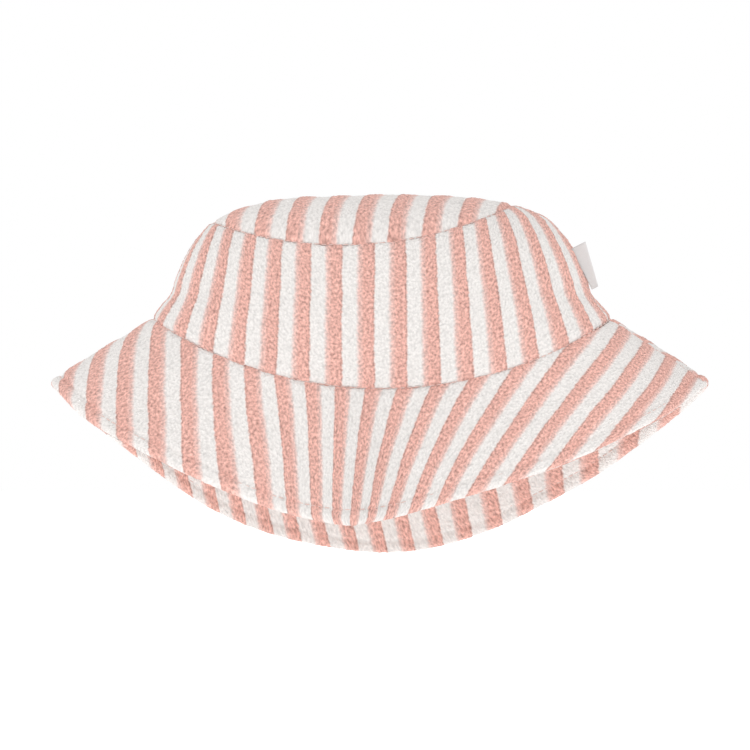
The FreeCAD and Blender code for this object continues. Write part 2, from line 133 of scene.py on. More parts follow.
class HatCut(PropertyGroup):
    """The flat cut of the cloth, and how it stands."""

    stripe_period: size_prop("Stripe period", "One pink and one white stripe", 15.2 * MM)
    brim_cut_radius: size_prop("Brim cut radius", "Inner radius of the brim's flat cut", 97.5 * MM)
    brim_width: size_prop("Brim width", "Brim seam to rim, along the cloth", 65 * MM)
    brim_stripe_radius: size_prop("Brim stripe radius", "Of the seam's edge before it is eased in",
                                  109.5 * MM)
    brim_spread: FloatProperty(name="Brim spread", default=0.83, min=0.5, max=1.2,
                               description="How much of the brim's width its stripes fan out over")
    one_side_ease: FloatProperty(name="One side ease", default=0.11, min=0, max=0.3,
                                 description="Taken in at the front's left and at the back's right")
    half_width: size_prop("Crown half width", "At the sides of the brim seam", 103 * MM)
    squareness: FloatProperty(name="Squareness", default=2.45, min=2.0, max=4.0,
                              description="Exponent of the crown's level outline; 2 is an ellipse")
    brim_seam_radius: size_prop("Brim seam radius", "Of its curve, seen from the front", 192 * MM)
    brim_seam_low: size_prop("Brim seam low", "Height of the brim seam's lowest point", 2 * MM)
    tip_seam_radius: size_prop("Tip seam radius", "Of its curve, seen from the front", 172 * MM)
    tip_seam_across: size_prop("Tip seam across", "Where the tip seam is lowest", -18 * MM)
    tip_seam_low: size_prop("Tip seam low", "Height of the tip seam's lowest point", 66.5 * MM)
    seam_turn: FloatProperty(name="Seam turn", default=radians(-5.2), subtype="ANGLE",
                             description="How far the side seams are turned from the sides")
    front_middle: size_prop("Front middle", "Where the front brim's middle is, across", -17.9 * MM)
    wall_ease: FloatProperty(name="Wall ease", default=1.04, min=0.9, max=1.2,
                             description="Cloth in the crown's walls for each length round them")
    wall_draw: FloatProperty(name="Wall draw", default=0.185, min=0, max=0.5,
                             description="How much more of it is drawn in at the sides of the tip seam")
    wall_stripe: size_prop("Wall stripe", "A pink stripe's middle on the front wall", -7 * MM)
    tip_stripe: size_prop("Tip stripe", "A pink stripe's middle on the tip", -9.5 * MM)
    tip_lean: FloatProperty(name="Tip lean", default=radians(-10), subtype="ANGLE",
                            description="Turn of the tip's stripes from front to back")
    under_turn: FloatProperty(name="Underside turn", default=radians(-27), subtype="ANGLE",
                              description="Turn of the back underside's cut round the brim")
    under_twist: FloatProperty(name="Underside twist", default=radians(7), subtype="ANGLE",
                               description="How far its rim is twisted round from its seam")


class HatCloth(PropertyGroup):
    """The cloths' thicknesses, relief and colours."""

    towelling: size_prop("Towelling", "Thickness of the striped cloth", 2.2 * MM)
    brim_layers: size_prop("Brim layers", "Outer face to outer face of the brim", 5.4 * MM)
    lining: size_prop("Lining", "Thickness of the lining", 0.8 * MM)
    band: size_prop("Sweatband", "Thickness of the folded sweatband", 1.3 * MM)
    grid: size_prop("Grid", "Spacing of the towelling's points", 0.75 * MM)
    smooth_grid: size_prop("Plain grid", "Spacing of the plain cloths' points", 2.2 * MM)
    loop: size_prop("Loop", "Size of the towelling's loops", 1.5 * MM)
    pile: size_prop("Pile", "How far the loops stand up", 0.75 * MM)
    seam_dip: size_prop("Seam dip", "How deep the cloth dips into its seams", 0.8 * MM)
    seam_reach: size_prop("Seam reach", "How far from a seam the cloth starts to dip", 1.3 * MM)
    topstitch: size_prop("Topstitch", "From the rim to its row of stitching", 6.4 * MM)
    pink: tint_prop("Pink", "Pink loops", colour(229, 178, 166))
    white: tint_prop("White", "White loops", colour(237, 233, 230))
    plain: tint_prop("Lining colour", "Lining and sweatband", colour(232, 226, 218))
    tape: tint_prop("Tape", "Woven labels", colour(232, 229, 228))
    thread: tint_prop("Thread", "Sewing thread", colour(235, 205, 197))


class HatStage(PropertyGroup):
    """The floor, the light and the camera."""

    distance: size_prop("Distance", "Camera to the middle of the hat", 2.0)
    lens: FloatProperty(name="Lens", description="Focal length", default=209.0, unit="CAMERA")
    elevation: FloatProperty(name="Elevation", default=radians(1.0), subtype="ANGLE",
                             description="How far the camera looks down")
    aim_height: size_prop("Aim height", "Height that the camera looks at", 7 * MM)
    floor_gap: size_prop("Floor gap", "Space below the rim's lowest point", 35 * MM)
    key: FloatProperty(name="Key", default=1.6, min=0, unit="POWER",
                       description="Power of the soft light from the upper left")


# ------------------------------------------------------------------------------ shaping the cloth
def settings():
    scene = bpy.context.scene
    return scene.hat_cut, scene.hat_cloth, scene.hat_stage


def through(loop_crevices, values, at):
    """A smooth curve through values at rising knots, each span leaning as its neighbours do."""
    slopes = np.gradient(values, loop_crevices, axis=0)
    span = np.clip(np.searchsorted(loop_crevices, at) - 1, 0, len(loop_crevices) - 2)
    step = loop_crevices[span + 1] - loop_crevices[span]
    t = (at - loop_crevices[span]) / step
    if values.ndim > 1:
        t, step = t[..., None], step[..., None]
    ease = t * t * (3 - 2 * t)
    return (values[span] * (1 - ease) + values[span + 1] * ease
            + slopes[span] * step * t * (1 - t) ** 2 - slopes[span + 1] * step * t * t * (1 - t))


def lengths_along(points):
    """Distance along a line of points, from its first."""
    steps = np.linalg.norm(np.diff(points, axis=0), axis=-1)
    return np.concatenate([np.zeros((1,) + steps.shape[1:]), np.cumsum(steps, axis=0)])


def solve(low, high, height_over):
    """Where a rising function of an array crosses nought, by halving."""
    for _ in range(34):
        middle = (low + high) / 2
        over = height_over(middle) > 0
        high, low = np.where(over, middle, high), np.where(over, low, middle)
    return (low + high) / 2


class Shape:
    """The hat's surfaces. A turn of 0 is the side at high X, and 0.75 is the front."""

    def __init__(self, cut):
        self.cut = cut
        self.rings = CROWN_RINGS * (CROWN_TOP, cut.half_width, CROWN_HALF_DEPTH)
        self.levels = lengths_along(self.rings[:, [0, 1]])
        self.levels /= self.levels[-1]
        corner = 2 / cut.squareness
        angle = np.linspace(0, 2 * pi, 4001)
        self.unit = np.stack([np.sign(np.cos(angle)) * np.abs(np.cos(angle)) ** corner,
                              np.sign(np.sin(angle)) * np.abs(np.sin(angle)) ** corner], -1)
        walk = lengths_along(self.unit * (cut.half_width, CROWN_HALF_DEPTH))
        self.unit_turns = walk / walk[-1]
        turns = np.linspace(0, 1, 2001)
        seam = self.crown(turns, self.brim_seam(turns))
        self.seam_turns, self.seam_walk = turns, lengths_along(seam)
        self.seam_length = self.seam_walk[-1]
        front = (turns > 0.5) & (seam[:, 1] < 0)
        self.front_walk = np.interp(cut.front_middle, seam[front, 0], self.seam_walk[front])
        self.back_walk = self.front_walk - self.seam_length / 2
        self.set_ribs()

    def outline(self, turn):
        """The unit outline at a turn."""
        turn = np.mod(turn, 1.0)
        return np.stack([np.interp(turn, self.unit_turns, self.unit[:, k]) for k in (0, 1)], -1)

    def crown(self, turn, level):
        """A point of the crown, at a turn and a level from the hem, 0, to the top, 1."""
        ring = through(self.levels, self.rings, level)
        flat = self.outline(turn) * ring[..., 1:]
        return np.concatenate([flat, ring[..., :1]], -1)

    def brim_seam(self, turn):
        """The crown's level where it meets the brim."""
        cut = self.cut

        def over(level):
            point = self.crown(turn, level)
            reach = cut.brim_seam_radius
            return point[..., 2] - (cut.brim_seam_low + reach - np.sqrt(reach ** 2 - point[..., 0] ** 2))
        return solve(np.full(np.shape(turn), 0.0), np.full(np.shape(turn), 0.6), over)

    def tip_seam(self, turn):
        """The crown's level where its walls meet the tip."""
        cut = self.cut

        def over(level):
            point = self.crown(turn, level)
            across = point[..., 0] - cut.tip_seam_across
            reach = cut.tip_seam_radius
            return point[..., 2] - (cut.tip_seam_low + reach - np.sqrt(reach ** 2 - across ** 2))
        return solve(np.full(np.shape(turn), 0.3), np.full(np.shape(turn), 1.0), over)

    def dome(self, across, back):
        """The crown's height over a point of its plan."""
        power = self.cut.squareness

        def over(level):
            ring = through(self.levels, self.rings, level)
            inside = (np.abs(across) / np.maximum(ring[..., 1], 1e-6)) ** power
            return inside + (np.abs(back) / np.maximum(ring[..., 2], 1e-6)) ** power - 1
        level = solve(np.full(across.shape, 0.0), np.full(across.shape, 1.0), over)
        return through(self.levels, self.rings, level)[..., 0]

    def side_turn(self, side):
        """The turn of the side seam at high X (side 1) or at low X (side -1)."""
        tilt = self.cut.seam_turn
        aim = np.array([side * cos(tilt), side * sin(tilt)])
        scaled = self.unit * (self.cut.half_width, CROWN_HALF_DEPTH)
        across = np.abs(scaled @ (-aim[1], aim[0]))
        along = scaled @ aim > 0
        return float(self.unit_turns[np.argmin(np.where(along, across, 9))])

    def half_turns(self, which, count):
        """Turns from one side seam to the other, through the front or the back."""
        left, right = self.side_turn(-1), self.side_turn(1)
        if which == "front":
            return np.linspace(left, right if right > left else right + 1, count)
        return np.linspace(right if right < left else right - 1, left, count)

    def set_ribs(self):
        cut, ribs = self.cut, []
        for middle, half in ((self.back_walk, BACK_RIBS), (self.front_walk, FRONT_RIBS)):
            ribs += [(middle + cut.brim_cut_radius * radians(angle), *(np.array(place) * MM))
                     for angle, *place in half]
        ribs = np.array(ribs)
        order = np.argsort(np.mod(ribs[:, 0], self.seam_length))
        ribs = ribs[order]
        ribs[:, 0] = np.mod(ribs[:, 0], self.seam_length)
        before, after = ribs[-4:].copy(), ribs[:4].copy()
        before[:, 0] -= self.seam_length
        after[:, 0] += self.seam_length
        self.ribs = np.concatenate([before, ribs, after])

    def brim(self, turn, down):
        """A point of the brim's top, at a turn and a share of the way down to the rim."""
        walk = np.interp(np.mod(turn, 1.0), self.seam_turns, self.seam_walk)
        rim = through(self.ribs[:, 0], self.ribs[:, 1:], walk)
        seam = self.crown(turn, self.brim_seam(turn))
        return seam + (rim - seam) * down

    def brim_angle(self, turn, which):
        """The angle in the flat cut, from the middle of the half that it belongs to."""
        walk = np.interp(np.mod(turn, 1.0), self.seam_turns, self.seam_walk)
        middle = self.front_walk if which == "front" else self.back_walk
        walk = (walk - middle + self.seam_length / 2) % self.seam_length - self.seam_length / 2
        return walk / self.cut.brim_cut_radius


def facing(points):
    """Unit normals of a grid of points, out of the side from which its columns run left to right."""
    rows, columns = np.gradient(points, axis=0), np.gradient(points, axis=1)
    normals = np.cross(columns, rows)
    return normals / np.maximum(np.linalg.norm(normals, axis=-1, keepdims=True), 1e-12)


def dip(distance, reach):
    """1 at a seam, falling away to 0 at some distance from it."""
    return np.exp(-(distance / reach) ** 2)


def stripe_pile(flat, cut, cloth):
    """The pink loops stand a little higher than the white ones."""
    phase = (flat[..., 0] / cut.stripe_period + 0.5) % 1 - 0.5
    rise = np.clip((phase + 0.27) / 0.04, 0, 1) * np.clip((0.3 - phase) / 0.25, 0, 1)
    return 0.5 * cloth.pile * rise


def mesh_object(name, points, faces, uvs=None):
    """A mesh object at the origin, with its flat cut as the UV map where it is given."""
    mesh = bpy.data.meshes.new(name)
    mesh.from_pydata(points, [], faces)
    if uvs is not None:
        layer = mesh.uv_layers.new(name="flat_cut")
        corners = np.empty(len(mesh.loops), np.int32)
        mesh.loops.foreach_get("vertex_index", corners)
        layer.data.foreach_set("uv", uvs[corners].astype(np.float32).ravel())
    obj = bpy.data.objects.new(name, mesh)
    bpy.context.scene.collection.objects.link(obj)
    mesh.polygons.foreach_set("use_smooth", np.ones(len(mesh.polygons), bool))
    mesh.update()
    return obj


def closed_sheet(name, outer, inner, flat):
    """A closed sheet between two grids of points, its two faces joined round their edge."""
    rows, columns = outer.shape[:2]
    index = np.arange(rows * columns).reshape(rows, columns)
    quads = np.stack([index[:-1, :-1], index[:-1, 1:], index[1:, 1:], index[1:, :-1]], -1)
    quads = quads.reshape(-1, 4)
    back = quads[:, ::-1] + rows * columns
    edge = np.concatenate([index[0, :-1], index[:-1, -1], index[-1, :0:-1], index[:0:-1, 0]])
    after = np.roll(edge, -1)
    walls = np.stack([after, edge, edge + rows * columns, after + rows * columns], -1)
    points = np.concatenate([outer.reshape(-1, 3), inner.reshape(-1, 3)])
    uvs = np.concatenate([flat.reshape(-1, 2)] * 2)
    faces = np.concatenate([quads, back, walls])
    sheet = mesh_object(name, points.tolist(), faces.tolist(), uvs)
    sheet.vertex_groups.new(name="outer_face").add(list(range(rows * columns)), 1.0, "REPLACE")
    return sheet


def select_only(obj):
    bpy.ops.object.select_all(action="DESELECT")
    obj.select_set(True)
    bpy.context.view_layer.objects.active = obj


def raise_relief(obj, basis, scale, strength):
    """Displaces a cloth's outer face with one of Blender's own textures, and applies it."""
    texture = bpy.data.textures.new(f"{obj.name}_{scale * 1e5:.0f}", "CLOUDS")
    texture.noise_scale = scale
    texture.noise_basis = basis
    texture.noise_depth = 1
    select_only(obj)
    modifier = obj.modifiers.new("relief", "DISPLACE")
    modifier.texture = texture
    modifier.texture_coords = "LOCAL"
    modifier.vertex_group = "outer_face"
    modifier.strength = strength
    modifier.mid_level = 0.5
    bpy.ops.object.modifier_apply(modifier=modifier.name)


def terry(obj, cloth):
    """The broad waves of a soft cloth, then its loops."""
    raise_relief(obj, "BLENDER_ORIGINAL", 40 * MM, 1.2 * MM)
    raise_relief(obj, "BLENDER_ORIGINAL", 7 * MM, 0.35 * MM)
    raise_relief(obj, "VORONOI_F1", cloth.loop, -cloth.pile)


def finish(obj, material, slot, body, *nodes):
    """Gives a piece its material and its body, and hides the nodes that it stands for; its slot is not
    used.
    """
    obj.data.materials.clear()
    obj.data.materials.append(material)
    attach(obj, body)
    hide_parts(*nodes)
    return obj


# ------------------------------------------------------------------------------ the cloths' grids
def count(length, spacing):
    return max(3, int(round(length / spacing)) + 1)


def wall_grid(shape, which, spacing, depth):
    """Points, outward normals and flat cut of half a crown wall, from its foot up.

    The walls are cut with the cloth the other way up from the brim's and the tip's.
    """
    turns = shape.half_turns(which, count(shape.seam_length / 2, spacing))
    low, high = shape.brim_seam(turns), shape.tip_seam(turns)
    rise = shape.crown(turns, high) - shape.crown(turns, low)
    rows = count(float(np.linalg.norm(rise, axis=-1).max()), spacing)
    levels = low + (high - low) * np.linspace(0, 1, rows)[:, None]
    points = shape.crown(turns, levels)
    normals = facing(points)
    points = points - normals * depth
    across = lengths_along(points.swapaxes(0, 1)).T
    heading, middle = (1, shape.cut.wall_stripe) if which == "front" else (-1, 0.0)
    broad = np.abs(shape.outline(turns)[:, 0]) < 0.7
    start = [np.interp(heading * middle, heading * line[broad, 0], walk[broad])
             for line, walk in zip(points, across)]
    across = across - np.array(start)[:, None]
    up = np.linspace(0, 1, rows)[:, None]
    draw = 1 + shape.cut.wall_draw * (up - 0.3) * np.abs(across) / shape.cut.half_width
    eased = shape.cut.wall_ease * across * draw
    return points, normals, np.stack([-eased, -lengths_along(points)], -1)


def tip_grid(shape, spacing, depth):
    """Points, outward normals, flat cut and distance to the seam of the crown's tip."""
    a, b = np.meshgrid(*(np.linspace(-1, 1, count(span, spacing)) for span in TIP_SPAN))
    sideways = np.abs(a) >= np.abs(b)
    top, bottom = np.where(sideways, b, a), np.where(sideways, a, b)
    quarter = pi / 4 * top / np.where(bottom == 0, 1, bottom)
    angle = np.where(sideways, quarter, pi / 2 - quarter) + np.where(bottom < 0, pi, 0)
    share = np.abs(bottom)
    turn = np.mod(angle / (2 * pi), 1.0)
    rim = shape.crown(turn, shape.tip_seam(turn))
    middle = np.array([shape.cut.tip_seam_across + 9 * MM, 0.0])
    plan = middle + (rim[..., :2] - middle) * share[..., None]
    height = shape.dome(plan[..., 0], plan[..., 1])
    points = np.concatenate([plan, height[..., None]], -1)
    normals = facing(points)
    points = points - normals * depth
    cut = shape.cut
    back = points[..., 1] + 43 * MM
    u = (points[..., 0] - cut.tip_stripe) * cos(cut.tip_lean) + back * sin(cut.tip_lean)
    v = back * cos(cut.tip_lean) - (points[..., 0] - cut.tip_stripe) * sin(cut.tip_lean)
    edge = (1 - share) * np.linalg.norm(rim[..., :2] - middle, axis=-1) * 1.15
    return points, normals, np.stack([u, v], -1), edge


def brim_grid(shape, which, spacing, inset=0.0, turn=0.0, twist=0.0, rounding=0.0):
    """Points, outward normals, flat cut and distance to the rim of half the brim, rim first.

    The cut may be turned round the hat, and twisted between seam and rim. Rows crowd together near
    a rim that is to be rounded.
    """
    cut = shape.cut
    turns = shape.half_turns(which, count(HALF_RIM, spacing))
    close = rounding * (1 - np.cos(np.linspace(0, pi / 2, 8)))[:-1] if rounding else []
    even = np.linspace(inset + rounding, cut.brim_width, count(cut.brim_width, spacing))
    down = 1 - np.concatenate([close, even]) / cut.brim_width
    points = shape.brim(turns, down[:, None, None])
    normals = facing(points)
    angle, down = shape.brim_angle(turns, which), down[:, None]
    angle = angle + turn + twist * down
    reach = cut.brim_stripe_radius + cut.brim_spread * down * cut.brim_width
    taken_in = 1 - cut.one_side_ease * (1 - down) * np.clip(np.sin(angle), 0, 1)
    flat = np.stack([reach * np.sin(angle) * taken_in, -reach * np.cos(angle)], -1)
    return points, normals, flat, lengths_along(points)


def seam_dips(points, cloth, ends=True):
    """How far a towelling panel dips into the seams at its head and sides."""
    up = lengths_along(points)
    across = lengths_along(points.swapaxes(0, 1)).T
    dips = dip(up[-1] - up, cloth.seam_reach)
    if ends:
        dips = dips + dip(across, cloth.seam_reach) + dip(across[:, -1:] - across, cloth.seam_reach)
    return cloth.seam_dip * np.minimum(dips, 1.1)


# ------------------------------------------------------------------------------ stitching
STITCH_RINGS = ((-0.36, 0.85, 0.55), (0.0, 1.0, 1.0), (0.36, 0.85, 0.55))
STITCH_SIDES = 6


def stitch_row(name, path, normals, length=2.6 * MM, gap=0.7 * MM, radius=0.24 * MM, lift=0.12 * MM):
    """Short stitches laid end to end along a path, each dipping into the cloth at its ends."""
    walk = lengths_along(path)
    number = int(walk[-1] // (length + gap))
    starts = (np.arange(number) + 0.5) * walk[-1] / number
    centre = np.stack([np.interp(starts, walk, path[:, k]) for k in range(3)], -1)
    ahead = np.stack([np.interp(starts + length / 2, walk, path[:, k]) for k in range(3)], -1)
    up = np.stack([np.interp(starts, walk, normals[:, k]) for k in range(3)], -1)
    along = ahead - centre
    along /= np.linalg.norm(along, axis=-1, keepdims=True)
    side = np.cross(along, up)
    side /= np.linalg.norm(side, axis=-1, keepdims=True)
    up = np.cross(side, along)
    template = [(-length / 2, 0, 0)]
    for place, girth, rise in STITCH_RINGS:
        for k in range(STITCH_SIDES):
            angle = 2 * pi * k / STITCH_SIDES
            template.append((place * length, radius * girth * cos(angle),
                             radius * girth * sin(angle) + lift * rise))
    template.append((length / 2, 0, 0))
    last, faces = len(template) - 1, []
    for k in range(STITCH_SIDES):
        after = (k + 1) % STITCH_SIDES
        faces.append((0, 1 + after, 1 + k))
        for ring in range(len(STITCH_RINGS) - 1):
            here = 1 + ring * STITCH_SIDES
            faces.append((here + k, here + after, here + STITCH_SIDES + after, here + STITCH_SIDES + k))
        end = last - STITCH_SIDES
        faces.append((end + k, end + after, last))
    template = np.array(template)
    points = (centre[:, None] + template[:, 0:1] * along[:, None] + template[:, 1:2] * side[:, None]
              + template[:, 2:3] * up[:, None]).reshape(-1, 3)
    all_faces = [tuple(corner + k * len(template) for corner in face)
                 for k in range(number) for face in faces]
    return mesh_object(name, points.tolist(), all_faces)


# ------------------------------------------------------------------------------ finishes
class Finish:
    """A node material being put together."""

    def __init__(self, name, roughness, sheen=0.0, sheen_tint=(1, 1, 1), specular=0.3):
        self.material = bpy.data.materials.new(name)
        self.material.use_nodes = True
        self.tree = self.material.node_tree
        self.shader = self.tree.nodes["Principled BSDF"]
        self.put(self.shader, {"Roughness": roughness, "Sheen Weight": sheen,
                               "Sheen Roughness": 0.5, "Sheen Tint": (*sheen_tint, 1.0),
                               "Specular IOR Level": specular})

    def put(self, node, values):
        for name, value in values.items():
            if isinstance(value, bpy.types.NodeSocket):
                self.tree.links.new(value, node.inputs[name])
            else:
                node.inputs[name].default_value = value

    def add(self, kind, values=None, **choices):
        node = self.tree.nodes.new(kind)
        for name, choice in choices.items():
            setattr(node, name, choice)
        self.put(node, values or {})
        return node

    def math(self, operation, *values):
        node = self.add("ShaderNodeMath", dict(enumerate(values)), operation=operation)
        return node.outputs[0]

    def smooth(self, value, low, high):
        """0 below low, 1 above high, and a soft step between."""
        node = self.add("ShaderNodeMapRange", {"Value": value, "From Min": low, "From Max": high},
                        interpolation_type="SMOOTHSTEP")
        return node.outputs[0]

    def cloth(self):
        """The place in the flat cut, in metres."""
        return self.add("ShaderNodeUVMap", uv_map="flat_cut").outputs[0]

    def place(self):
        return self.add("ShaderNodeTexCoord").outputs["Object"]

    def noise(self, vector, size, detail=2.0):
        """Cloudy noise, from 0 to 1, whose clouds are about one size across."""
        node = self.add("ShaderNodeTexNoise",
                        {"Vector": vector, "Scale": 1 / size, "Detail": detail})
        return node.outputs[0]

    def cells(self, vector, size):
        node = self.add("ShaderNodeTexVoronoi", {"Vector": vector, "Scale": 1 / size})
        return node.outputs["Distance"]

    def ribs(self, vector, size, direction="X"):
        """Fine parallel ribs, each about one size wide."""
        node = self.add("ShaderNodeTexWave",
                        {"Vector": vector, "Scale": 0.314 / size, "Distortion": 1.2, "Detail": 1.0,
                         "Detail Scale": 2.0}, wave_type="BANDS", bands_direction=direction)
        return node.outputs["Fac"]

    def mix(self, factor, first, second, blend="MIX"):
        node = self.add("ShaderNodeMix", data_type="RGBA", blend_type=blend)
        values = {"Factor_Float": factor, "A_Color": first, "B_Color": second}
        for socket in node.inputs:
            value = values.get(socket.identifier)
            if isinstance(value, bpy.types.NodeSocket):
                self.tree.links.new(value, socket)
            elif value is not None:
                socket.default_value = value if isinstance(value, float) else (*value, 1.0)
        return next(socket for socket in node.outputs if socket.identifier == "Result_Color")

    def shade(self, tint, amount, low, high):
        """Lightens and darkens a colour by a factor that runs from low to high."""
        node = self.add("ShaderNodeMapRange", {"Value": amount, "To Min": low, "To Max": high})
        scale = self.add("ShaderNodeVectorMath", {"Scale": node.outputs[0]}, operation="SCALE")
        if isinstance(tint, bpy.types.NodeSocket):
            self.tree.links.new(tint, scale.inputs[0])
        else:
            scale.inputs[0].default_value = tint
        return scale.outputs[0]

    def done(self, tint, height=None, depth=0.0004, strength=0.6):
        self.put(self.shader, {"Base Color": tint})
        if height is not None:
            bump = self.add("ShaderNodeBump", {"Height": height, "Distance": depth,
                                               "Strength": strength})
            self.put(self.shader, {"Normal": bump.outputs[0]})
        return self.material


def towelling(name, cut, cloth):
    """Striped terry. Its pile leans one way, so a pink stripe starts crisply and ends in a fade; a
    painted shadow line darkens the band just inside the crisp edge, and painted shade darkens the
    crevices between the loops.
    """
    made = Finish(name, 0.95, sheen=0.2, sheen_tint=(1.0, 0.95, 0.93), specular=0.1)
    spot = made.cloth()
    along = made.add("ShaderNodeSeparateXYZ", {"Vector": spot}).outputs[0]
    for size, reach in ((16 * MM, 1.8 * MM), (1.5 * MM, 1.5 * MM)):
        stray = made.math("SUBTRACT", made.noise(spot, size, 3.0), 0.5)
        along = made.math("ADD", along, made.math("MULTIPLY", stray, reach))
    phase = made.math("DIVIDE", along, cut.stripe_period)
    phase = made.math("SUBTRACT", made.math("FRACT", made.math("ADD", phase, 0.5)), 0.5)
    crisp = made.smooth(phase, *CRISP_EDGE)
    faded = made.math("ADD", made.math("MULTIPLY", made.smooth(phase, *FIRST_FADE), 0.2),
                      made.math("MULTIPLY", made.smooth(phase, *LAST_FADE), 0.8))
    pink = made.math("MULTIPLY", crisp, made.math("SUBTRACT", 1.0, faded))
    # Painted shadow line: the colour is darkened to 0.84 in a thin band just inside the crisp edge,
    # standing for the shade of the raised pile's step.
    lip = made.math("MULTIPLY", made.smooth(phase, *PILE_SHADOW_LINE[:2]),
                    made.math("SUBTRACT", 1.0, made.smooth(phase, *PILE_SHADOW_LINE[2:])))
    loops, loop_crevices = made.noise(spot, 1.3 * MM, 2.0), made.cells(spot, 1.3 * MM)
    patches = made.noise(spot, 22 * MM)
    rosy = made.shade(made.shade(tuple(cloth.pink), loops, 0.1, 1.9), patches, 0.94, 1.06)
    milky = made.shade(made.shade(tuple(cloth.white), loops, 0.82, 1.18), patches, 0.98, 1.02)
    tint = made.shade(made.mix(pink, milky, rosy), lip, 1.0, 0.84)
    # Painted shade and light: the colour darkens toward the crevices between the loops and lightens a
    # little on their tops, where the bump sinks and rises.
    tint = made.shade(tint, loop_crevices, 1.07, 0.84)
    height = made.math("ADD", loops, made.math("MULTIPLY", loop_crevices, -0.9))
    return made.done(tint, height, 0.9 * MM, 0.7)


def plain_weave(name, tint, thread=0.45 * MM, slant=0.0, roughness=0.85):
    """Fine crossing threads, or slanting ribs where it is a twill."""
    made = Finish(name, roughness, sheen=0.1, specular=0.2)
    turn = made.add("ShaderNodeVectorRotate", {"Vector": made.cloth(), "Angle": slant})
    spot = turn.outputs[0]
    warp = made.ribs(spot, thread)
    weft = made.ribs(spot, thread * (4 if slant else 1), "Y")
    weave = made.math("MULTIPLY", warp, weft)
    slubs = made.noise(spot, 6 * MM)
    shaded = made.shade(made.shade(tint, weave, 0.86, 1.05), slubs, 0.95, 1.04)
    return made.done(shaded, weave, thread * 0.5, 0.5)


def felted(name, tint):
    made = Finish(name, 0.9, specular=0.2)
    fibres = made.noise(made.cloth(), 0.9 * MM, 4.0)
    return made.done(made.shade(tint, fibres, 0.85, 1.08), fibres, 0.3 * MM, 0.5)


def sewing_thread(name, tint):
    """Two-ply thread: its twist shows as fine slanting ribs."""
    made = Finish(name, 0.6, sheen=0.15, specular=0.35)
    twist = made.ribs(made.place(), 0.22 * MM, "DIAGONAL")
    fuzz = made.noise(made.place(), 3 * MM)
    return made.done(made.shade(made.shade(tint, twist, 0.88, 1.04), fuzz, 0.95, 1.04),
                     twist, 0.08 * MM, 0.5)


FINISHES = {}


def finish_for(kind):
    """The material of a kind of piece, made once."""
    if kind not in FINISHES:
        cut, cloth, _ = settings()
        makers = {
            "towelling": lambda: towelling("striped_towelling", cut, cloth),
            "lining": lambda: plain_weave("lining_lawn", tuple(cloth.plain)),
            "sweatband": lambda: plain_weave("sweatband_twill", tuple(cloth.plain), 0.6 * MM, pi / 4),
            "interlining": lambda: felted("interlining_felt", tuple(cloth.plain)),
            "label": lambda: plain_weave("label_tape", tuple(cloth.tape), 0.3 * MM, 0.0, 0.55),
            "thread": lambda: sewing_thread("seam_thread", tuple(cloth.thread)),
        }
        FINISHES[kind] = makers[kind]()
    return FINISHES[kind]


def dress(obj, kind, body, *nodes):
    return finish(obj, finish_for(kind), kind, body, *nodes)


# ------------------------------------------------------------------------------ the operators
class HatOperator(Operator):
    """Shares the hat's surfaces between the operators."""

    bl_options = {"REGISTER", "UNDO"}

    @property
    def shape(self):
        return Shape(settings()[0])


class HAT_OT_crown(HatOperator):
    """Sew the crown: two half walls and a tip, of striped towelling"""

    bl_idname = "hat.crown"
    bl_label = "Crown"

    def execute(self, context):
        cut, cloth, _ = settings()
        shape = self.shape
        for which in ("front", "back"):
            points, normals, flat = wall_grid(shape, which, cloth.grid, 0.0)
            foot = cloth.seam_dip * dip(lengths_along(points), cloth.seam_reach)
            relief = stripe_pile(flat, cut, cloth) - seam_dips(points, cloth) - foot
            wall = closed_sheet(f"crown_{which}_cloth", points + normals * relief[..., None],
                                points - normals * (cloth.towelling + cloth.seam_dip * 0.4), flat)
            terry(wall, cloth)
            dress(wall, "towelling", "hat", f"crown_{which}")
        points, normals, flat, edge = tip_grid(shape, cloth.grid, 0.0)
        relief = stripe_pile(flat, cut, cloth) - cloth.seam_dip * dip(edge, cloth.seam_reach)
        tip = closed_sheet("crown_tip_cloth", points + normals * relief[..., None],
                           points - normals * (cloth.towelling + cloth.seam_dip * 0.4), flat)
        terry(tip, cloth)
        dress(tip, "towelling", "hat", "crown_tip")
        return {"FINISHED"}


